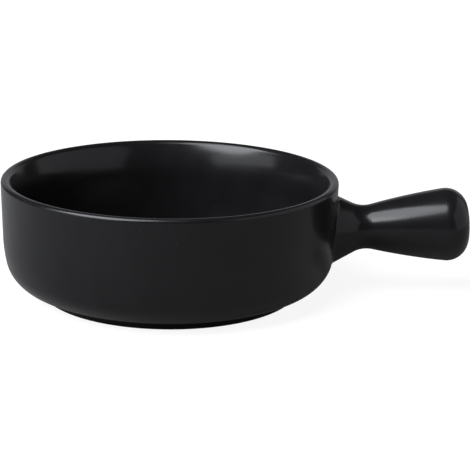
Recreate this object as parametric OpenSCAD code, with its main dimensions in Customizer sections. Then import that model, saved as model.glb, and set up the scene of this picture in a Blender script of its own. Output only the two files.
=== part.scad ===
// Stoneware onion soup crock with one stick handle, in millimetres.
// The bowl stands on z = 0 about the Z axis, and the handle points along +X.
// Every glazed size is over the glaze: the clay lies one glaze thickness inside it.

/* [Bowl] */
// Diameter over the rim
rim_d = 150; // [130:1:180]
// Height from the table to the top of the rim
bowl_h = 52.3; // [46:0.1:70]
// Inward lean of the outer wall, in degrees
wall_lean = 1; // [0:0.25:4]
// Radius of the slow bend at the foot of the wall
belly_r = 62; // [40:1:90]
// Angle below level at which the belly passes into the corner, in degrees
belly_turn = 11.3; // [8:0.1:18]
// Radius of the lower corner
corner_r = 14; // [10:0.2:18]
// Radius of the lip towards the outside
lip_outer_r = 1.7; // [1.5:0.1:4.5]
// Radius of the lip towards the inside
lip_inner_r = 2.9; // [0.9:0.1:3.5]
// Radius of the slow flare under the lip, inside
throat_r = 40; // [25:1:50]
// Angle at which the lip passes into the flare, in degrees
throat_turn = 25; // [15:1:30]
// Inward lean of the inner wall, in degrees
inner_lean = 1.8; // [0.5:0.1:5]
// Radius between the inner wall and the floor
inner_corner_r = 6.5; // [5:0.5:18]
// Thickness of the floor inside the foot ring
floor_t = 5; // [4:0.1:9]

/* [Foot ring] */
// Diameter over the foot ring, at its top
foot_d = 118.5; // [90:0.5:124]
// Height of the foot ring under the corner
foot_h = 4; // [3:0.1:7]
// Inward taper of the foot ring's outer side, in degrees
foot_taper = 12; // [0:1:20]
// Width of the foot ring, at its top
foot_w = 6.5; // [4:0.1:9]
// Depth of the recess inside the foot ring
recess_h = 2.5; // [2:0.1:5]
// Radius in the corner of the recess
recess_r = 1.4; // [0.5:0.1:1.8]
// Radius on the two bottom edges of the foot ring
foot_edge_r = 0.5; // [0.2:0.05:0.6]
// Height of the band wiped bare of glaze above the table
bare_h = 0.6; // [0.3:0.05:1]

/* [Handle] */
// Height of the handle's axis where it meets the wall
handle_z = 29.4; // [24:0.1:34]
// Upward tilt of the handle, in degrees
handle_tilt = 2.9; // [0:0.1:8]
// Length of the handle beyond the wall
handle_len = 59.2; // [45:0.1:90]
// Greatest diameter, near the end
handle_d = 32.8; // [26:0.2:36]
// Diameter at the waist
waist_d = 19.8; // [16:0.2:24]
// Distance of the waist from the wall
waist_out = 12.6; // [10:0.2:18]
// Radius of the curve through the waist
waist_r = 12.6; // [8:0.1:20]
// Half angle of the flared root, in degrees
flare_angle = 26.5; // [15:0.5:32]
// Radius of the shoulder before the end
shoulder_r = 9.7; // [6:0.1:13]
// Radius of the domed end
end_r = 55; // [30:1:120]
// Clay thickness of the hollow handle
handle_wall = 4; // [3:0.1:5]
// Diameter of the firing vent under the handle
vent_d = 3; // [1.5:0.1:4]
// Distance of the firing vent from the wall
vent_out = 9; // [7:0.5:25]

/* [Joint and glaze] */
// Thickness of the glaze coats
glaze_t = 0.5; // [0.3:0.05:0.7]
// Thickness of the slip between the wall and the handle
slip_t = 1; // [0.7:0.1:2]

/* [Hidden] */
$fn = 96;
// Largest turn between neighbouring points of a profile's arc, in degrees
arc_step = 6;
// Length by which a cutting shape passes the piece that it cuts
overrun = 2;

rim_r = rim_d / 2;
foot_r = foot_d / 2;
floor_z = recess_h + floor_t;
lip_x = rim_r - lip_outer_r;

// Centres of the outer profile's arcs, each tangent to the one above it
lip_outer_c = [lip_x, bowl_h - lip_outer_r];
belly_z = foot_h + corner_r + (belly_r - corner_r) * sin(belly_turn);
wall_fall = lip_outer_c[1] - belly_z + (belly_r - lip_outer_r) * sin(wall_lean);
belly_x = lip_x - (belly_r - lip_outer_r) * cos(wall_lean) - wall_fall * tan(wall_lean);
belly_c = [belly_x, belly_z];
corner_c = belly_c + (belly_r - corner_r) * [cos(belly_turn), -sin(belly_turn)];
// The corner's arc starts level, or where a wide foot ring cuts into it
corner_from = asin(min(1, max(0, (foot_r - corner_c[0]) / corner_r))) - 90;

// Centres of the inner profile's arcs, each tangent to the one above it
lip_inner_c = [lip_x, bowl_h - lip_inner_r];
throat_c = lip_inner_c + (throat_r - lip_inner_r) * [cos(throat_turn), -sin(throat_turn)];
inner_z = floor_z + inner_corner_r;
inner_fall = throat_c[1] - inner_z + (throat_r + inner_corner_r) * sin(inner_lean);
inner_reach = (throat_r + inner_corner_r) * cos(inner_lean) + inner_fall * tan(inner_lean);
inner_c = [throat_c[0] - inner_reach, inner_z];

// Inner side of the foot ring and the centre of the recess's corner
ring_in_r = foot_r - foot_w;
recess_c = [ring_in_r - recess_r, recess_h - recess_r];

// Stations along the handle's axis, from the bowl's axis
axis_z = handle_z - rim_r * tan(handle_tilt);
wall_s = rim_r / cos(handle_tilt);
root_s = wall_s - corner_r;
end_s = wall_s + handle_len;
dome_s = end_s - end_r;
vent_s = wall_s + vent_out;

// Centres of the handle's arcs, as radius and station, and the half angle of the cone that joins them
waist_c = [waist_d / 2 + waist_r, wall_s + waist_out];
shoulder_x = handle_d / 2 - shoulder_r;
shoulder_c = [shoulder_x, dome_s + sqrt((end_r - shoulder_r) ^ 2 - shoulder_x ^ 2)];
span = shoulder_c - waist_c;
cone_angle = atan2(span[1], -span[0]) - acos((waist_r + shoulder_r) / norm(span));
dome_from = atan2(shoulder_c[1] - dome_s, shoulder_x);

// Depth in the wall at which the flare ends and its root runs straight on, and the station there
root_depth = lip_outer_r + lip_inner_r;
flare_s = wall_s - root_depth;
// The flare's radius at the wall, limited so that its root lies under the lip and above the foot ring,
// and the half angle of the tangent from the waist's curve to it
flare_own_r = waist_c[0] - waist_r / cos(flare_angle) + waist_out * tan(flare_angle);
flare_r = min(flare_own_r, lip_outer_c[1] - handle_z - root_depth * tan(flare_angle), handle_z - foot_h);
flare_span = [waist_c[0] - flare_r, waist_out];
flare_turn = atan2(flare_span[1], flare_span[0]) - acos(waist_r / norm(flare_span));

// Points on an arc about c, from one angle to another, leaving out those before the first
function arc(c, r, from, to, first = 0) =
    let (steps = max(2, ceil(abs(to - from) / arc_step)))
    [for (i = [first : steps]) let (a = from + (to - from) * i / steps) c + r * [cos(a), sin(a)]];

function reversed(points) = [for (i = [len(points) - 1 : -1 : 0]) points[i]];

// Outer profile from the corner's underside up to the top of the lip, set in by t from the finished surface
function outer_side(t) = concat(
    arc(corner_c, corner_r - t, corner_from, -belly_turn),
    arc(belly_c, belly_r - t, -belly_turn, -wall_lean, 1),
    arc(lip_outer_c, lip_outer_r - t, -wall_lean, 90));

// Inner profile from just past the top of the lip down to the edge of the floor, set into the clay by t
function inner_side(t) = concat(
    arc(lip_inner_c, lip_inner_r - t, 90, 180 - throat_turn, 1),
    arc(throat_c, throat_r - t, 180 - throat_turn, 180 - inner_lean, 1),
    arc(inner_c, inner_corner_r + t, -inner_lean, -90));

// Outer radius of the tapered foot ring at a height, set in by t from the finished surface
function foot_x(z, t) = foot_r - (foot_h - z) * tan(foot_taper) - t / cos(foot_taper);

// Recess profile from its ceiling to the foot ring's inner side, set into the clay by t
function recess_side(t) = arc(recess_c, recess_r + t, 90, 0);

// Handle profile from its root inside the wall to the middle of its end, set in by t
function handle_side(t) =
    let (bend_r = waist_r + t)
    let (flare = waist_c - bend_r * [cos(flare_turn), sin(flare_turn)])
    let (root_x = flare[0] + (flare[1] - flare_s) * tan(flare_turn))
    concat(
        [[0, root_s], [root_x, root_s], [root_x, flare_s]],
        arc(waist_c, bend_r, 180 + flare_turn, 180 - cone_angle),
        arc(shoulder_c, shoulder_r - t, -cone_angle, dome_from),
        arc([0, dome_s], end_r - t, dome_from, 90, 1));

// The bowl's outside as one filled solid, set in by t
module bowl_plug(t) {
    rotate_extrude()
        polygon(concat([[0, foot_h + t]], outer_side(t), [[0, bowl_h - t]]));
}

// Turns a shape drawn along +Z onto the handle's axis, with its +X side facing down
module on_handle_axis() {
    translate([0, 0, axis_z])
        rotate([0, 90 - handle_tilt, 0])
            children();
}

// The handle's outside as one filled solid, set in by t
module handle_plug(t) {
    on_handle_axis()
        rotate_extrude()
            polygon(handle_side(t));
}

// Drill for the firing vent, from the handle's axis down through its underside
module vent_drill() {
    on_handle_axis()
        translate([0, 0, vent_s])
            rotate([0, 90, 0])
                cylinder(h = handle_d / 2 + overrun, d = vent_d);
}

// Thrown stoneware bowl: floor, wall, rolled lip and turned foot ring in one clay
module bowl_body() {
    // The bottom edges' arcs touch the table, and the outer one runs into the tapered side
    edge_in_x = ring_in_r + glaze_t + foot_edge_r;
    edge_out_x = foot_x(0, glaze_t) - foot_edge_r * (1 - sin(foot_taper)) / cos(foot_taper);
    color("dimgray")
        rotate_extrude()
            polygon(concat(
                [[0, recess_h + glaze_t]],
                recess_side(glaze_t),
                arc([edge_in_x, foot_edge_r], foot_edge_r, 180, 270),
                arc([edge_out_x, foot_edge_r], foot_edge_r, -90, -foot_taper),
                [[foot_x(foot_h + glaze_t, glaze_t), foot_h + glaze_t]],
                outer_side(glaze_t),
                inner_side(glaze_t),
                [[0, floor_z - glaze_t]]));
}

// Hollow cast handle, its root cut to sit on the round wall
module handle() {
    color("dimgray")
        difference() {
            handle_plug(glaze_t);
            handle_plug(glaze_t + handle_wall);
            bowl_plug(glaze_t - slip_t);
            vent_drill();
        }
}

// Saddle of slip that joins the handle's root to the bare wall
module luting_slip() {
    color("gray")
        difference() {
            intersection() {
                handle_plug(glaze_t);
                bowl_plug(glaze_t - slip_t);
            }
            handle_plug(glaze_t + handle_wall);
            bowl_plug(glaze_t);
        }
}

// Glaze poured inside the bowl, up to the top of the lip
module liner_glaze() {
    color("#1c1c1e")
        rotate_extrude()
            polygon(concat(
                [[lip_x, bowl_h]],
                inner_side(0),
                [[0, floor_z], [0, floor_z - glaze_t]],
                reversed(inner_side(glaze_t)),
                [[lip_x, bowl_h - glaze_t]]));
}

// Glaze on the outside of the bowl, from the foot ring to the top of the lip, open under the handle's root
module outer_glaze() {
    color("#1c1c1e")
        difference() {
            rotate_extrude()
                polygon(concat(
                    [[foot_x(bare_h, glaze_t), bare_h], [foot_x(bare_h, 0), bare_h], [foot_r, foot_h]],
                    outer_side(0),
                    reversed(outer_side(glaze_t)),
                    [[foot_x(foot_h + glaze_t, glaze_t), foot_h + glaze_t]]));
            handle_plug(0);
        }
}

// Glaze over the handle and the edge of its slip joint
module handle_glaze() {
    color("#1c1c1e")
        difference() {
            handle_plug(0);
            handle_plug(glaze_t);
            bowl_plug(glaze_t);
            vent_drill();
        }
}

// Glaze in the recess under the bowl, inside the bare foot ring
module base_glaze() {
    color("#1c1c1e")
        rotate_extrude()
            polygon(concat(
                [[0, recess_h]],
                recess_side(0),
                [[ring_in_r, bare_h], [ring_in_r + glaze_t, bare_h]],
                reversed(recess_side(glaze_t)),
                [[0, recess_h + glaze_t]]));
}

bowl_body();
handle();
luting_slip();
liner_glaze();
outer_glaze();
handle_glaze();
base_glaze();
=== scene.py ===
import bpy
import numpy as np
from mathutils import Matrix, Vector


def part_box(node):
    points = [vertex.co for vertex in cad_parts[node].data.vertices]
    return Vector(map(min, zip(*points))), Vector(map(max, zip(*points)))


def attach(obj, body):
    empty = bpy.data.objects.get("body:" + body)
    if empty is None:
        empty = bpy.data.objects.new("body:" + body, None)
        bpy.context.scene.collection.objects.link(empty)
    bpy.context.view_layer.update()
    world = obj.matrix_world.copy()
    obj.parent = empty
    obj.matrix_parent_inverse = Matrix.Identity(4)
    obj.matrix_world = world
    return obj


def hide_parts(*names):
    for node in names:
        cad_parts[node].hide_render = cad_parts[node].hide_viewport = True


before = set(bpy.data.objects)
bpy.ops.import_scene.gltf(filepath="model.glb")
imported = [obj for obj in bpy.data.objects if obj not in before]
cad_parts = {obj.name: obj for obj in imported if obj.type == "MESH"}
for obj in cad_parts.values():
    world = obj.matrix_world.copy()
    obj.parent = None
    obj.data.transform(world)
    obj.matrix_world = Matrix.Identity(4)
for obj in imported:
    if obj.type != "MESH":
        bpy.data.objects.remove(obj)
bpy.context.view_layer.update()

# Bowl body
# The bowl is thrown in dark stoneware, with a rolled lip and a slow belly, and its foot ring is turned
# when the clay is leather hard. Glaze hides all of it but the foot ring, which is wiped bare to stand on.
glaze_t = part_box("liner_glaze")[1].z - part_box("bowl_body")[1].z
bowl_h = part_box("liner_glaze")[1].z
rim_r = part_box("outer_glaze")[1].y
floor_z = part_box("liner_glaze")[0].z + glaze_t
wall_lean = 1.0
belly_r = 0.062
belly_turn = 11.3
corner_r = 0.014
lip_outer_r = 0.0017
lip_inner_r = 0.0029
throat_r = 0.04
throat_turn = 25.0
inner_lean = 1.8
inner_corner_r = 0.0065
foot_r = 0.05925
foot_h = 0.004
foot_taper = 12.0
foot_edge_r = 0.0005
recess_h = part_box("base_glaze")[1].z - glaze_t
recess_r = 0.0014
ring_in_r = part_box("base_glaze")[1].y - glaze_t
turn_steps = 256
corner_steps = 44
belly_steps = 16
wall_steps = 24
lip_outer_steps = 60
lip_inner_steps = 36
throat_steps = 36
inner_wall_steps = 16
inner_corner_steps = 48
recess_steps = 24
foot_edge_steps = 10
stoneware_brown = (0.045, 0.039, 0.034, 1.0)
stoneware_dark = (0.035, 0.031, 0.028, 1.0)
stoneware_grit = (0.2, 0.17, 0.14, 1.0)
clay_clouds = 220
clay_grains = 2600
clay_grain_depth = 0.00012
clay_dryness = (0.78, 0.92)
clay_level = 0.25
grit_grains = 900
grit_size_share = 0.22
noise_span = (0.3, 0.7)
cloud_span = (0.35, 0.7)


def polar(angle):
    """The unit vector at an angle in degrees, as (radius, height)."""
    return np.array([np.cos(np.radians(angle)), np.sin(np.radians(angle))])


def arc(centre, radius, start, end, steps):
    """Points on a circle about a centre, from one angle to another in even steps of angle."""
    angles = np.linspace(start, end, steps + 1)
    return np.asarray(centre) + radius * polar(angles).T


def line(start, end, steps):
    """Points from start to end in even steps, without the two ends."""
    share = np.linspace(0, 1, steps + 1)[1:-1, None]
    return (1 - share) * np.asarray(start) + share * np.asarray(end)


lip_x = rim_r - lip_outer_r
lip_outer_c = np.array([lip_x, bowl_h - lip_outer_r])
belly_z = foot_h + corner_r + (belly_r - corner_r) * polar(belly_turn)[1]
wall_fall = lip_outer_c[1] - belly_z + (belly_r - lip_outer_r) * polar(wall_lean)[1]
wall_slope = np.tan(np.radians(wall_lean))
belly_x = lip_x - (belly_r - lip_outer_r) * polar(wall_lean)[0] - wall_fall * wall_slope
belly_c = np.array([belly_x, belly_z])
corner_c = belly_c + (belly_r - corner_r) * polar(-belly_turn)
corner_from = np.degrees(np.arcsin(np.clip((foot_r - corner_c[0]) / corner_r, 0, 1))) - 90


def outer_side(depth):
    """The outside's profile at a depth under the finished surface, from the corner's underside up to the
    top of the lip: the corner's arc, the belly's arc and the lip's arc, each tangent to the next, and the
    straight wall between the last two. Depth takes its amount off each arc's radius."""
    corner = arc(corner_c, corner_r - depth, corner_from, -belly_turn, corner_steps)
    belly = arc(belly_c, belly_r - depth, -belly_turn, -wall_lean, belly_steps)
    lip = arc(lip_outer_c, lip_outer_r - depth, -wall_lean, 90, lip_outer_steps)
    return np.concatenate([corner, belly[1:], line(belly[-1], lip[0], wall_steps), lip])


lip_inner_c = np.array([lip_x, bowl_h - lip_inner_r])
throat_c = lip_inner_c + (throat_r - lip_inner_r) * polar(-throat_turn)
inner_z = floor_z + inner_corner_r
inner_bends = throat_r + inner_corner_r
inner_fall = throat_c[1] - inner_z + inner_bends * polar(inner_lean)[1]
inner_slope = np.tan(np.radians(inner_lean))
inner_x = throat_c[0] - inner_bends * polar(inner_lean)[0] - inner_fall * inner_slope
inner_c = np.array([inner_x, inner_z])


def inner_side(depth):
    """The inside's profile at a depth in the clay, from the top of the lip down to the edge of the floor: the
    lip's inner arc, the throat's slow arc, the straight wall and the corner's arc, each tangent to the next.
    Depth takes its amount off the first two radii, and widens the corner, which is hollow."""
    lip = arc(lip_inner_c, lip_inner_r - depth, 90, 180 - throat_turn, lip_inner_steps)
    throat = arc(throat_c, throat_r - depth, 180 - throat_turn, 180 - inner_lean, throat_steps)
    corner = arc(inner_c, inner_corner_r + depth, -inner_lean, -90, inner_corner_steps)
    return np.concatenate([lip, throat[1:], line(throat[-1], corner[0], inner_wall_steps), corner])


def foot_side(height, depth):
    """The tapered foot ring's outer radius at a height, at a depth under the finished surface."""
    return foot_r - (foot_h - height) * np.tan(np.radians(foot_taper)) - depth / polar(foot_taper)[0]


recess_c = np.array([ring_in_r - recess_r, recess_h - recess_r])


def recess_side(depth):
    """The recess under the bowl at a depth in the clay: the hollow arc from its ceiling to the foot ring."""
    return arc(recess_c, recess_r + depth, 90, 0, recess_steps)


def round_faces(rows, columns, first_pole=False, last_pole=False):
    """Faces of a surface of revolution whose rows are rings of points: quads between neighbouring rings, and
    a fan of triangles to one point where a row is a pole. Point numbers run along each ring, row after
    row."""
    here = np.arange(rows * columns).reshape(rows, columns)
    after = np.roll(here, -1, axis=1)
    quads = np.stack([here[:-1], after[:-1], after[1:], here[1:]], axis=-1)
    quads = quads[1 if first_pole else 0:rows - 2 if last_pole else rows - 1]
    fans = []
    if first_pole:
        fans.append(np.stack([np.full(columns, here[0, 0]), after[1], here[1]], axis=-1))
    if last_pole:
        fans.append(np.stack([here[-2], after[-2], np.full(columns, here[-1, 0])], axis=-1))
    return quads.reshape(-1, 4), np.concatenate(fans) if fans else np.zeros((0, 3), int)


def revolve(profile, columns):
    """Carries a profile of (radius, height) round the Z axis: row i and angle a give (r cos a, r sin a, h).
    The first angle is at -X, so that the seam of the numbering lies away from the handle."""
    angle = -np.pi + 2 * np.pi * np.arange(columns) / columns
    radius, height = profile[:, :1], profile[:, 1:]
    grid = [radius * np.cos(angle), radius * np.sin(angle), height + 0 * angle]
    return np.stack(grid, axis=-1).reshape(-1, 3)


def piece_from(name, points, quads, fans, smooth_to=40):
    """A mesh object of these points and faces, without the points that no face uses. It is smooth but for the
    edges that turn more than an angle in degrees."""
    used, numbers = np.unique(np.concatenate([quads.ravel(), fans.ravel()]), return_inverse=True)
    corners = [numbers[:quads.size].reshape(-1, 4), numbers[quads.size:].reshape(-1, 3)]
    mesh = bpy.data.meshes.new(name)
    mesh.from_pydata(points[used].tolist(), [], corners[0].tolist() + corners[1].tolist())
    mesh.shade_smooth()
    mesh.set_sharp_from_angle(angle=np.radians(smooth_to))
    piece = bpy.data.objects.new(name, mesh)
    bpy.context.scene.collection.objects.link(piece)
    return piece


def new_material(name):
    """An empty node material with its shader and the piece's own coordinates, which are in metres."""
    material = bpy.data.materials.new(name)
    material.use_nodes = True
    nodes = material.node_tree.nodes
    return material, nodes, nodes["Principled BSDF"], nodes.new("ShaderNodeTexCoord").outputs["Object"]


def noise(nodes, place, per_metre, detail=3.0):
    """Cloudy noise from 0 to 1, with about this many clouds to the metre."""
    cloud = nodes.new("ShaderNodeTexNoise")
    cloud.inputs["Scale"].default_value = per_metre
    cloud.inputs["Detail"].default_value = detail
    nodes.id_data.links.new(place, cloud.inputs["Vector"])
    return cloud.outputs["Fac"]


def spread(nodes, value, low, high, to_low=0.0, to_high=1.0):
    """The value taken from one range to another, with nothing beyond the ends."""
    span = nodes.new("ShaderNodeMapRange")
    for socket, number in zip(("From Min", "From Max", "To Min", "To Max"), (low, high, to_low, to_high)):
        span.inputs[socket].default_value = number
    nodes.id_data.links.new(value, span.inputs["Value"])
    return span.outputs["Result"]


def tint(nodes, share, under, over):
    """One colour passing into another as share goes from 0 to 1. Under may be a colour or another tint."""
    mix = nodes.new("ShaderNodeMix")
    mix.data_type = "RGBA"
    nodes.id_data.links.new(share, mix.inputs["Factor"])
    if isinstance(under, tuple):
        mix.inputs["A"].default_value = under
    else:
        nodes.id_data.links.new(under, mix.inputs["A"])
    mix.inputs["B"].default_value = over
    return mix.outputs["Result"]


def specks(nodes, place, per_metre, size):
    """1 inside small round grains, and 0 around them: the cells of a random lattice, near their middles. A
    grain fades over the outer part of its size, which is a share of a cell."""
    core_share = 0.6
    cells = nodes.new("ShaderNodeTexVoronoi")
    cells.inputs["Scale"].default_value = per_metre
    nodes.id_data.links.new(place, cells.inputs["Vector"])
    return spread(nodes, cells.outputs["Distance"], size, size * core_share)


def relief(nodes, height, depth, under=None):
    """A bump of the surface, where a height of 0 to 1 stands for this depth in metres."""
    bump = nodes.new("ShaderNodeBump")
    bump.inputs["Distance"].default_value = depth
    nodes.id_data.links.new(height, bump.inputs["Height"])
    if under is not None:
        nodes.id_data.links.new(under, bump.inputs["Normal"])
    return bump.outputs["Normal"]


def bare_stoneware():
    """Unglazed fired clay: brown and dark grey clouds with pale grit, dry and finely rough."""
    material, nodes, shader, place = new_material("bare_stoneware")
    links = material.node_tree.links
    clouds = spread(nodes, noise(nodes, place, clay_clouds, detail=5.0), *cloud_span)
    colour = tint(nodes, clouds, stoneware_brown, stoneware_dark)
    colour = tint(nodes, specks(nodes, place, grit_grains, grit_size_share), colour, stoneware_grit)
    grain = noise(nodes, place, clay_grains, detail=4.0)
    links.new(colour, shader.inputs["Base Color"])
    links.new(spread(nodes, grain, *noise_span, *clay_dryness), shader.inputs["Roughness"])
    links.new(relief(nodes, grain, clay_grain_depth), shader.inputs["Normal"])
    shader.inputs["Specular IOR Level"].default_value = clay_level
    return material


stoneware = bare_stoneware()
edge_in_x = ring_in_r + glaze_t + foot_edge_r
edge_out_x = foot_side(0, glaze_t) - foot_edge_r * (1 - polar(foot_taper)[1]) / polar(foot_taper)[0]
# The profile runs from the middle of the underside, outwards and over the lip, to the middle of the floor
body_profile = np.concatenate([
    [[0, recess_h + glaze_t]],
    recess_side(glaze_t),
    arc([edge_in_x, foot_edge_r], foot_edge_r, 180, 270, foot_edge_steps),
    arc([edge_out_x, foot_edge_r], foot_edge_r, -90, -foot_taper, foot_edge_steps),
    [[foot_side(foot_h + glaze_t, glaze_t), foot_h + glaze_t]],
    outer_side(glaze_t),
    inner_side(glaze_t)[1:],
    [[0, floor_z - glaze_t]],
])
body_faces = round_faces(len(body_profile), turn_steps, True, True)
bowl_body = piece_from("bowl_body_clay", revolve(body_profile, turn_steps), *body_faces)
bowl_body.data.materials.append(stoneware)
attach(bowl_body, "root")
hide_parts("bowl_body")

# Handle
# The handle is cast hollow in the same clay and has its flared root cut to the round wall. It is clay under
# its glaze, seen only in the firing vent, so the solid is shown as it is, in bare stoneware.
handle_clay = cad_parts["handle"]
handle_clay.data.materials.clear()
handle_clay.data.materials.append(stoneware)

# Luting slip
# A saddle of liquid clay joins the handle's root to the scored wall and is fired with them. The glaze closes
# over its edge, so its solid is shown as it is, in a paler and smoother clay.
slip_pale = (0.14, 0.125, 0.11, 1.0)
slip_dark = (0.08, 0.07, 0.062, 1.0)
slip_clouds = 400
slip_grains = 3000
slip_grain_depth = 0.00005
slip_dryness = (0.75, 0.88)


def fired_slip():
    """Fired slip: fine clouds of two clay tones, dry, with no grit."""
    material, nodes, shader, place = new_material("fired_slip")
    links = material.node_tree.links
    clouds = noise(nodes, place, slip_clouds)
    links.new(tint(nodes, clouds, slip_pale, slip_dark), shader.inputs["Base Color"])
    links.new(spread(nodes, clouds, *noise_span, *slip_dryness), shader.inputs["Roughness"])
    links.new(relief(nodes, noise(nodes, place, slip_grains), slip_grain_depth), shader.inputs["Normal"])
    return material


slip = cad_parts["luting_slip"]
slip.data.materials.clear()
slip.data.materials.append(fired_slip())

# Liner glaze
# A black glaze poured into the bowl and out again, which coats it from the floor up to the top of the lip and
# fires to a satin sheen. It is a skin of even thickness on the clay.
glaze_black = (0.006, 0.006, 0.0064, 1.0)
glaze_cloud = (0.0075, 0.0075, 0.008, 1.0)
glaze_speck = (0.03, 0.028, 0.026, 1.0)
glaze_clouds = 70
glaze_specks = 420
speck_size_share = 0.14
speck_patches = 150
patch_span = (0.6, 0.66)
matt_sheen = (0.42, 0.48)
matt_level = 0.05
satin_sheen = (0.16, 0.2)
satin_level = 0.64
peel_waves = 900
peel_depth = 0.000012
pour_steps = 24


def satin_glaze(name):
    """Satin black glaze: two near blacks in soft clouds with a few fine pale specks. Its fine crystals give
    it a broad sheen and its skin a sharper one. Both vary a little with the clouds, and the skin has a faint
    orange peel."""
    material, nodes, shader, place = new_material(name)
    links = material.node_tree.links
    clouds = noise(nodes, place, glaze_clouds, detail=4.0)
    colour = tint(nodes, spread(nodes, clouds, *cloud_span), glaze_black, glaze_cloud)
    few = nodes.new("ShaderNodeMath")
    few.operation = "MULTIPLY"
    links.new(specks(nodes, place, glaze_specks, speck_size_share), few.inputs[0])
    links.new(spread(nodes, noise(nodes, place, speck_patches, detail=2.0), *patch_span), few.inputs[1])
    links.new(tint(nodes, few.outputs["Value"], colour, glaze_speck), shader.inputs["Base Color"])
    links.new(spread(nodes, clouds, *noise_span, *matt_sheen), shader.inputs["Roughness"])
    links.new(spread(nodes, clouds, *noise_span, *satin_sheen), shader.inputs["Coat Roughness"])
    peel = relief(nodes, noise(nodes, place, peel_waves, detail=2.0), peel_depth)
    links.new(peel, shader.inputs["Normal"])
    links.new(peel, shader.inputs["Coat Normal"])
    shader.inputs["Specular IOR Level"].default_value = matt_level
    shader.inputs["Coat Weight"].default_value = satin_level
    return material


def coat(name, outside, inside, quads, fans):
    """A closed skin between two sheets of like points: the outside's faces, the inside's faces turned over,
    and a quad from each open edge of the outside to the same edge of the inside."""
    count = len(outside)
    sides = [np.stack([faces, np.roll(faces, -1, axis=1)], axis=-1) for faces in (quads, fans)]
    edges = np.concatenate([side.reshape(-1, 2) for side in sides])
    met = np.isin(edges[:, 0] * count + edges[:, 1], edges[:, 1] * count + edges[:, 0])
    start, end = edges[~met].T
    walls = np.stack([end, start, start + count, end + count], axis=-1)
    all_quads = np.concatenate([quads, quads[:, ::-1] + count, walls])
    all_fans = np.concatenate([fans, fans[:, ::-1] + count])
    return piece_from(name, np.concatenate([outside, inside]), all_quads, all_fans)


def liner_profile(depth):
    """The poured coat's profile: the lip's inner side, the wall, the corner and on to the floor's middle."""
    side = inner_side(depth)
    middle = np.array([0, floor_z - depth])
    return np.concatenate([side, line(side[-1], middle, pour_steps), [middle]])


liner_faces = round_faces(len(liner_profile(0)), turn_steps, last_pole=True)
liner_sheets = [revolve(liner_profile(depth), turn_steps) for depth in (0, glaze_t)]
liner_glaze = coat("liner_glaze_coat", *liner_sheets, *liner_faces)
liner_glaze.data.materials.append(satin_glaze("liner_satin_glaze"))
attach(liner_glaze, "root")
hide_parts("liner_glaze")

# Outer glaze
# The same glaze on the outside, dipped, from the wiped foot ring to the top of the lip. It is open where the
# handle's root sits, and the handle's own coat flows into the edge of that opening.
bare_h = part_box("outer_glaze")[0].z
bead_r = 0.0003
bead_steps = 8
foot_side_steps = 8
foot_top_steps = 4
handle_tilt = 2.9
handle_z = 0.0294
waist_d = 0.0198
waist_out = 0.0126
waist_r = 0.0126
flare_angle = 26.5
root_reach = 0.0012
root_margin = 0.0022
root_side = 0.0225
root_rings = 6
root_halvings = 40
axis_z = handle_z - rim_r * np.tan(np.radians(handle_tilt))
wall_s = rim_r / polar(handle_tilt)[0]
axis_along = np.array([polar(handle_tilt)[0], 0, polar(handle_tilt)[1]])
axis_down = np.array([polar(handle_tilt)[1], 0, -polar(handle_tilt)[0]])
axis_side = np.array([0, 1, 0])
waist_c = np.array([waist_d / 2 + waist_r, wall_s + waist_out])


def outer_profile(depth):
    """The dipped coat's profile: a small bead at its wiped edge, the foot ring's side and the bowl's outside.
    Under the surface the bead is flat against the clay."""
    bead_c = [foot_side(bare_h + bead_r, bead_r), bare_h + bead_r]
    bead = arc(bead_c, bead_r, -90, -foot_taper, bead_steps)
    bead[:, 0] = np.where(depth > 0, foot_side(bead[:, 1], depth), bead[:, 0])
    under = np.array([foot_side(foot_h + depth, depth), foot_h + depth])
    side = outer_side(depth)
    foot = line(bead[-1], under, foot_side_steps)
    return np.concatenate([bead, foot, [under], line(under, side[0], foot_top_steps), side])


def wall_radius(height, depth):
    """The outside's radius at a height, read off its profile."""
    side = outer_side(depth)
    return np.interp(height, side[:, 1], side[:, 0])


def on_handle(radius, station, turn):
    """A point about the handle's axis: along the axis by the station, then out by the radius in the direction
    that is turned from straight down towards +Y."""
    out = np.cos(turn)[:, None] * axis_down + np.sin(turn)[:, None] * axis_side
    on_axis = np.array([0, 0, axis_z]) + np.reshape(station, (-1, 1)) * axis_along
    return on_axis + np.reshape(radius, (-1, 1)) * out


def flare_start(depth):
    """The (radius, station) at which the waist's arc passes into the straight flare."""
    return waist_c - (waist_r + depth) * polar(flare_angle)


def flare_point(station, turn, depth):
    """A point on the straight flare, a cone whose radius grows towards the wall."""
    radius, begins = flare_start(depth)
    return on_handle(radius + (begins - station) * np.tan(np.radians(flare_angle)), station, turn)


def root_lines(turn, depth):
    """Where the flare would meet the wall at each turn, where the fillet leaves the flare, a reach away, and
    the meeting point's station, which is found by halving."""
    low = np.full(turn.shape, wall_s - corner_r)
    high = np.full(turn.shape, flare_start(depth)[1])
    for _ in range(root_halvings):
        middle = (low + high) / 2
        point = flare_point(middle, turn, depth)
        inside = np.hypot(point[:, 0], point[:, 1]) < wall_radius(point[:, 2], depth)
        low, high = np.where(inside, middle, low), np.where(inside, high, middle)
    meet = flare_point(low, turn, depth)
    begin = flare_point(low + root_reach * polar(flare_angle)[0], turn, depth)
    return meet, begin, low


def wall_normal(point, depth):
    """The wall's outward direction at points on it, from the slope of its profile."""
    small = 0.0001
    up, down = wall_radius(point[:, 2] + small, depth), wall_radius(point[:, 2] - small, depth)
    flat = point[:, :2] / np.linalg.norm(point[:, :2], axis=1, keepdims=True)
    normal = np.column_stack([flat, (down - up) / (2 * small)])
    return normal / np.linalg.norm(normal, axis=1, keepdims=True)


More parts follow.
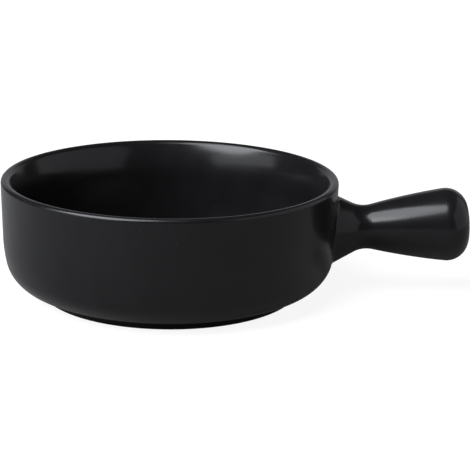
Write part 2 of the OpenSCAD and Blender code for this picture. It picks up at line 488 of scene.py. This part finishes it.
def root_edge(turn, depth):
    """The fillet's edge on the wall: a reach away from the meeting point, square to the line of those points,
    and set back on the wall's radius."""
    small = 0.001
    meet = root_lines(turn, depth)[0]
    ahead, behind = root_lines(turn + small, depth)[0], root_lines(turn - small, depth)[0]
    away = np.cross(ahead - behind, wall_normal(meet, depth))
    edge = meet + root_reach * away / np.linalg.norm(away, axis=1, keepdims=True)
    back = wall_radius(edge[:, 2], depth) / np.hypot(edge[:, 0], edge[:, 1])
    return edge * np.column_stack([back, back, np.ones_like(back)])


def cut_window(places, quads, columns, block, order, loop, rings):
    """Opens a window in a sheet of rows and columns. The quads of a block go, and rings of quads run from the
    block's edge, taken in the given order, to a loop with a place for each of the edge's points. Places are
    (row, column) pairs with fractions, and the new ones are appended."""
    (top, bottom), (left, right) = block
    row, column = np.divmod(quads[:, 0], columns)
    kept = quads[~((row >= top) & (row < bottom) & (column >= left) & (column < right))]
    share = np.linspace(0, 1, rings + 1)[1:, None, None]
    new = (1 - share) * places[order] + share * loop
    numbers = len(places) + np.arange(rings * len(order)).reshape(rings, -1)
    ring = np.vstack([order, numbers])
    after = np.roll(ring, -1, axis=1)
    patch = np.stack([ring[:-1], after[:-1], after[1:], ring[1:]], axis=-1).reshape(-1, 4)
    return np.concatenate([places, new.reshape(-1, 2)]), np.concatenate([kept, patch])


def block_edge(block, columns):
    """The numbers of the points on the edge of a block of rows and columns."""
    (top, bottom), (left, right) = block
    rows, cols = np.mgrid[top:bottom + 1, left:right + 1]
    rim = (rows == top) | (rows == bottom) | (cols == left) | (cols == right)
    return (rows * columns + cols)[rim]


def on_wall(places, depth):
    """Points of the dipped coat at (row, column) places: the profile at the row, turned by the column."""
    profile = outer_profile(depth)
    rows = np.arange(len(profile))
    radius = np.interp(places[:, 0], rows, profile[:, 0])
    angle = -np.pi + 2 * np.pi * places[:, 1] / turn_steps
    height = np.interp(places[:, 0], rows, profile[:, 1])
    return np.column_stack([radius * np.cos(angle), radius * np.sin(angle), height])


outer_rows = outer_profile(0)
outer_quads = round_faces(len(outer_rows), turn_steps)[0]
outer_places = np.stack(np.mgrid[0:len(outer_rows), 0:turn_steps], axis=-1).reshape(-1, 2).astype(float)
# The window's block spans the root's edge, with a margin above and below and to the sides
edge_heights = root_edge(np.array([0, np.pi]), 0)[:, 2]
block_rows = np.searchsorted(outer_rows[:, 1], [edge_heights[0] - root_margin, edge_heights[1] + root_margin])
half_columns = int(np.ceil(root_side / rim_r / (2 * np.pi) * turn_steps))
root_block = (block_rows, (turn_steps // 2 - half_columns, turn_steps // 2 + half_columns))
root_rim = block_edge(root_block, turn_steps)
from_axis = on_wall(outer_places[root_rim], 0) - np.array([0, 0, axis_z])
rim_turns = np.arctan2(from_axis @ axis_side, from_axis @ axis_down)
root_rim = root_rim[np.argsort(rim_turns)]
handle_turns = np.sort(rim_turns)
root_loop = root_edge(handle_turns, 0)
loop_rows = np.interp(root_loop[:, 2], outer_rows[:, 1], np.arange(len(outer_rows)))
loop_columns = (np.arctan2(root_loop[:, 1], root_loop[:, 0]) + np.pi) / (2 * np.pi) * turn_steps
loop_places = np.column_stack([loop_rows, loop_columns])
outer_places, outer_quads = cut_window(
    outer_places, outer_quads, turn_steps, root_block, root_rim, loop_places, root_rings)
outer_sheets = [on_wall(outer_places, depth) for depth in (0, glaze_t)]
outer_glaze = coat("outer_glaze_coat", *outer_sheets, outer_quads, np.zeros((0, 3), int))
dipped_glaze = satin_glaze("dipped_satin_glaze")
outer_glaze.data.materials.append(dipped_glaze)
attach(outer_glaze, "root")
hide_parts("outer_glaze")

# Handle glaze
# The coat over the handle: it fills the crease at the root in a small fillet, follows the flare, the waist,
# the slight swell and the shoulder to the domed end, and is pierced underneath by the firing vent.
handle_len = 0.0592
handle_d = 0.0328
shoulder_r = 0.0097
end_r = 0.055
swell_r = 0.3
vent_d = 0.003
vent_out = 0.009
vent_margin = 0.0007
vent_rings = 4
fillet_rows = 10
flare_rows = 8
waist_steps = 28
swell_steps = 28
shoulder_steps = 48
dome_steps = 24
end_s = wall_s + handle_len
dome_s = end_s - end_r
shoulder_x = handle_d / 2 - shoulder_r
shoulder_c = np.array([shoulder_x, dome_s + np.sqrt((end_r - shoulder_r) ** 2 - shoulder_x ** 2)])
# The swell's centre lies where an arc of its radius touches the hollow waist and the round shoulder
span = shoulder_c - waist_c
span_l = np.hypot(*span)
from_waist = swell_r + waist_r
along = (span_l ** 2 + from_waist ** 2 - (swell_r - shoulder_r) ** 2) / (2 * span_l ** 2)
aside = np.sqrt((from_waist / span_l) ** 2 - along ** 2)
swell_c = waist_c + along * span + aside * np.array([-span[1], span[0]])
swell_from, swell_to = [np.degrees(np.arctan2(*(c - swell_c)[::-1])) for c in (waist_c, shoulder_c)]
dome_from = np.degrees(np.arctan2(shoulder_c[1] - dome_s, shoulder_x))


def handle_side(depth):
    """The handle's profile as (radius, station), from the end of the flare to the middle of the domed end:
    the hollow arc of the waist, the slow arc of the swell, the arc of the shoulder and the shallow arc of the
    dome, each tangent to the next."""
    waist = arc(waist_c, waist_r + depth, 180 + flare_angle, 180 + swell_from, waist_steps)
    swell = arc(swell_c, swell_r - depth, swell_from, swell_to, swell_steps)
    shoulder = arc(shoulder_c, shoulder_r - depth, swell_to, dome_from, shoulder_steps)
    dome = arc([0, dome_s], end_r - depth, dome_from, 90, dome_steps)
    return np.concatenate([waist, swell[1:], shoulder[1:], dome[1:]])


def on_handle_coat(places, depth):
    """Points of the handle's coat at (row, column) places. The first rows are the fillet, a curve from the
    wall to the flare that is tangent to both. The next run straight along the flare, and the rest follow the
    profile."""
    row, column = places.T
    turn = np.interp(column, np.arange(len(handle_turns)), handle_turns)
    meet, begin, station = root_lines(turn, depth)
    edge = root_edge(turn, depth)
    share = np.clip(row / fillet_rows, 0, 1)[:, None]
    fillet = (1 - share) ** 2 * edge + 2 * share * (1 - share) * meet + share ** 2 * begin
    profile = handle_side(depth)
    share = np.clip((row - fillet_rows) / flare_rows, 0, 1)
    begins = station + root_reach * polar(flare_angle)[0]
    flare = flare_point(begins + share * (profile[0, 1] - begins), turn, depth)
    after = np.clip(row - fillet_rows - flare_rows, 0, None)
    rows = np.arange(len(profile))
    rest = on_handle(np.interp(after, rows, profile[:, 0]), np.interp(after, rows, profile[:, 1]), turn)
    first = (row < fillet_rows)[:, None]
    second = (row < fillet_rows + flare_rows)[:, None]
    return np.where(first, fillet, np.where(second, flare, rest))


handle_rows = fillet_rows + flare_rows + len(handle_side(0))
handle_columns = len(handle_turns)
handle_quads, handle_fans = round_faces(handle_rows, handle_columns, last_pole=True)
handle_places = np.stack(np.mgrid[0:handle_rows, 0:handle_columns], axis=-1).reshape(-1, 2).astype(float)
# The vent's window: a block of rows and columns about the drill, and a loop where the drill comes out
vent_s = wall_s + vent_out
vent_r = vent_d / 2
side_radii, side_stations = handle_side(0).T
vent_span = np.array([vent_s - vent_r - vent_margin, vent_s + vent_r + vent_margin])
vent_rows = np.searchsorted(side_stations, vent_span) + fillet_rows + flare_rows
vent_half_turn = (vent_r + vent_margin) / np.interp(vent_s, side_stations, side_radii)
vent_columns = np.searchsorted(handle_turns, [-vent_half_turn, vent_half_turn])
vent_block = (vent_rows, (vent_columns[0] - 1, vent_columns[1]))
vent_rim = block_edge(vent_block, handle_columns)
rim_rows, rim_columns = handle_places[vent_rim].T
rim_station = np.interp(rim_rows - fillet_rows - flare_rows, np.arange(len(side_stations)), side_stations)
rim_across = np.interp(rim_station, side_stations, side_radii) * handle_turns[rim_columns.astype(int)]
vent_angle = np.arctan2(rim_station - vent_s, rim_across)
vent_rim = vent_rim[np.argsort(vent_angle)]
vent_angle = np.sort(vent_angle)
loop_station = vent_s + vent_r * np.sin(vent_angle)
loop_turn = np.arcsin(vent_r * np.cos(vent_angle) / np.interp(loop_station, side_stations, side_radii))
vent_loop = np.column_stack([
    np.interp(loop_station, side_stations, np.arange(len(side_stations))) + fillet_rows + flare_rows,
    np.interp(loop_turn, handle_turns, np.arange(handle_columns)),
])
handle_places, handle_quads = cut_window(
    handle_places, handle_quads, handle_columns, vent_block, vent_rim, vent_loop, vent_rings)
handle_sheets = [on_handle_coat(handle_places, depth) for depth in (0, glaze_t)]
handle_glaze = coat("handle_glaze_coat", *handle_sheets, handle_quads, handle_fans)
handle_glaze.data.materials.append(dipped_glaze)
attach(handle_glaze, "root")
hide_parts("handle_glaze")

# Base glaze
# The coat in the recess under the bowl, inside the foot ring: it lines the recess's ceiling and its round
# corner, and stops in a small bead where the ring is wiped.
ceiling_steps = 24


def base_profile(depth):
    """The base coat's profile from the middle of the ceiling out to the corner's arc and down to a small
    bead. Above the surface the bead is flat against the clay."""
    corner = recess_side(depth)
    middle = np.array([0, recess_h + depth])
    bead = arc([ring_in_r + bead_r, bare_h + bead_r], bead_r, 180, 270, bead_steps)
    bead[:, 0] = np.where(depth > 0, ring_in_r + depth, bead[:, 0])
    return np.concatenate([[middle], line(middle, corner[0], ceiling_steps), corner, bead])


base_faces = round_faces(len(base_profile(0)), turn_steps, first_pole=True)
base_sheets = [revolve(base_profile(depth), turn_steps) for depth in (0, glaze_t)]
base_glaze = coat("base_glaze_coat", *base_sheets, *base_faces)
base_glaze.data.materials.append(dipped_glaze)
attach(base_glaze, "root")
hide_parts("base_glaze")

# Studio floor
# A plain pale table top, larger than the view. It takes the light and the crock's shadow in a matt grey, and
# glows for the camera, so that it photographs white. In the glaze its glow is dim, with a painted pool of the
# key's light in it that grows brighter towards the key.
floor_reach = 4.0
floor_grey = (0.2, 0.2, 0.2, 1.0)
floor_glow = 0.9
# The glow seen in the glaze is painted light: a pool of the key's light on the floor, brighter towards -X.
painted_pool_sides = (0.0, -0.22)
painted_pool_glows = (0.05, 0.19)


def pale_floor():
    """Matt grey with a glow added: strong where the camera sees it, weak in the glaze, none as light. In the
    glaze the glow is a painted pool of key light, going evenly from one glow to another between two sides
    along X."""
    material, nodes, shader, place = new_material("studio_pale")
    links = material.node_tree.links
    nodes.remove(shader)
    matt = nodes.new("ShaderNodeBsdfDiffuse")
    matt.inputs["Color"].default_value = floor_grey
    path = nodes.new("ShaderNodeLightPath")
    seen = nodes.new("ShaderNodeMath")
    seen.operation = "MAXIMUM"
    links.new(path.outputs["Is Camera Ray"], seen.inputs[0])
    links.new(path.outputs["Is Transmission Ray"], seen.inputs[1])
    sides = nodes.new("ShaderNodeSeparateXYZ")
    links.new(place, sides.inputs["Vector"])
    # Painted pool of key light, seen only in the glaze: its glow grows brighter towards -X.
    mirrored = nodes.new("ShaderNodeMath")
    mirrored.operation = "MULTIPLY"
    links.new(path.outputs["Is Glossy Ray"], mirrored.inputs[0])
    links.new(spread(nodes, sides.outputs["X"], *painted_pool_sides, *painted_pool_glows), mirrored.inputs[1])
    strength = nodes.new("ShaderNodeMath")
    strength.operation = "MULTIPLY_ADD"
    strength.inputs[1].default_value = floor_glow
    links.new(seen.outputs["Value"], strength.inputs[0])
    links.new(mirrored.outputs["Value"], strength.inputs[2])
    glow = nodes.new("ShaderNodeEmission")
    links.new(strength.outputs["Value"], glow.inputs["Strength"])
    both = nodes.new("ShaderNodeAddShader")
    links.new(matt.outputs["BSDF"], both.inputs[0])
    links.new(glow.outputs["Emission"], both.inputs[1])
    links.new(both.outputs["Shader"], nodes["Material Output"].inputs["Surface"])
    return material


floor_mesh = bpy.data.meshes.new("studio_floor")
floor_corners = floor_reach * np.array([[-1, -1, 0], [1, -1, 0], [1, 1, 0], [-1, 1, 0]])
floor_mesh.from_pydata(floor_corners.tolist(), [], [[0, 1, 2, 3]])
studio_floor = bpy.data.objects.new("studio_floor", floor_mesh)
bpy.context.scene.collection.objects.link(studio_floor)
studio_floor.data.materials.append(pale_floor())

# Studio light
# A large round softbox hangs to the front left of the crock, with a wide core low in it and two dim screens
# below. A weak panel hangs over the camera, another stands close to the crock's right, and a low pale card
# stands behind it. The room beyond them is dim.
room_grey = (0.04, 0.04, 0.04, 1.0)
lamp_white = (0.94, 0.955, 1.0)
key_place = (-53.5, 52.5, 2.4)
key_size = (2.24, 2.36)
key_radiance = 6.6
core_place = (-58.0, 42.0, 2.4)
core_size = (2.7, 1.25)
core_radiance = 3.3
screen_place = (-60.0, 21.0, 1.0)
screen_size = (1.0, 0.27)
screen_radiance = 1.8
skirt_place = (-52.0, 10.0, 1.0)
skirt_size = (0.64, 0.14)
skirt_radiance = 0.4
top_place = (-3.0, 70.0, 1.5)
top_size = (0.4, 0.5)
top_radiance = 1.3
fill_place = (84.0, 16.0, 0.62)
fill_size = (1.08, 0.7)
fill_radiance = 0.55
back_place = (180.0, 13.0, 1.2)
back_size = (1.7, 0.5)
back_radiance = 0.42
world = bpy.data.worlds.new("studio_room")
bpy.context.scene.world = world
world.use_nodes = True
world.node_tree.nodes["Background"].inputs["Color"].default_value = room_grey


def softbox(name, shape, place, size, radiance):
    """An area light that faces the crock, with the same radiance all over. Its place is an azimuth, which
    turns from the camera's side towards +X, a height above level, both in degrees, and a distance. Its size
    is its width and its height."""
    azimuth, lift, distance = place
    lamp = bpy.data.lights.new(name, "AREA")
    lamp.shape = shape
    lamp.size, lamp.size_y = size
    area = size[0] * size[1] * (np.pi / 4 if shape == "ELLIPSE" else 1)
    lamp.energy = np.pi * area * radiance
    lamp.color = lamp_white
    lamp_object = bpy.data.objects.new(name, lamp)
    turn, level = polar(azimuth), polar(lift)
    away = Vector((turn[1] * level[0], -turn[0] * level[0], level[1]))
    lamp_object.location = Vector((0, 0, bowl_h / 2)) + distance * away
    lamp_object.rotation_euler = away.to_track_quat("Z", "Y").to_euler()
    bpy.context.scene.collection.objects.link(lamp_object)


softbox("key_softbox", "ELLIPSE", key_place, key_size, key_radiance)
softbox("key_core", "ELLIPSE", core_place, core_size, core_radiance)
softbox("low_screen", "RECTANGLE", screen_place, screen_size, screen_radiance)
softbox("low_skirt", "RECTANGLE", skirt_place, skirt_size, skirt_radiance)
softbox("top_panel", "RECTANGLE", top_place, top_size, top_radiance)
softbox("fill_panel", "RECTANGLE", fill_place, fill_size, fill_radiance)
softbox("back_card", "RECTANGLE", back_place, back_size, back_radiance)

# Camera
# The photograph's camera looks down on the crock from a little above its rim, level with +Y, with a long lens
# and a small roll.
image_side = 470
focal_pixels = 1440.0
camera_distance = 0.65
camera_height = np.radians(16.07)
camera_roll = np.radians(1.0)
camera_target = Vector((0.0292, 0, 0.02504))
camera_data = bpy.data.cameras.new("camera")
camera_data.lens = focal_pixels / image_side * camera_data.sensor_width
camera = bpy.data.objects.new("camera", camera_data)
bpy.context.scene.collection.objects.link(camera)
back = Vector((0, -np.cos(camera_height), np.sin(camera_height)))
level = Vector((1, 0, 0))
upright = back.cross(level)
right = level * np.cos(camera_roll) + upright * np.sin(camera_roll)
up = upright * np.cos(camera_roll) - level * np.sin(camera_roll)
camera.matrix_world = Matrix.Translation(camera_target + camera_distance * back) @ Matrix(
    (right, up, back)).transposed().to_4x4()
bpy.context.scene.camera = camera
bpy.context.scene.view_settings.view_transform = "Standard"
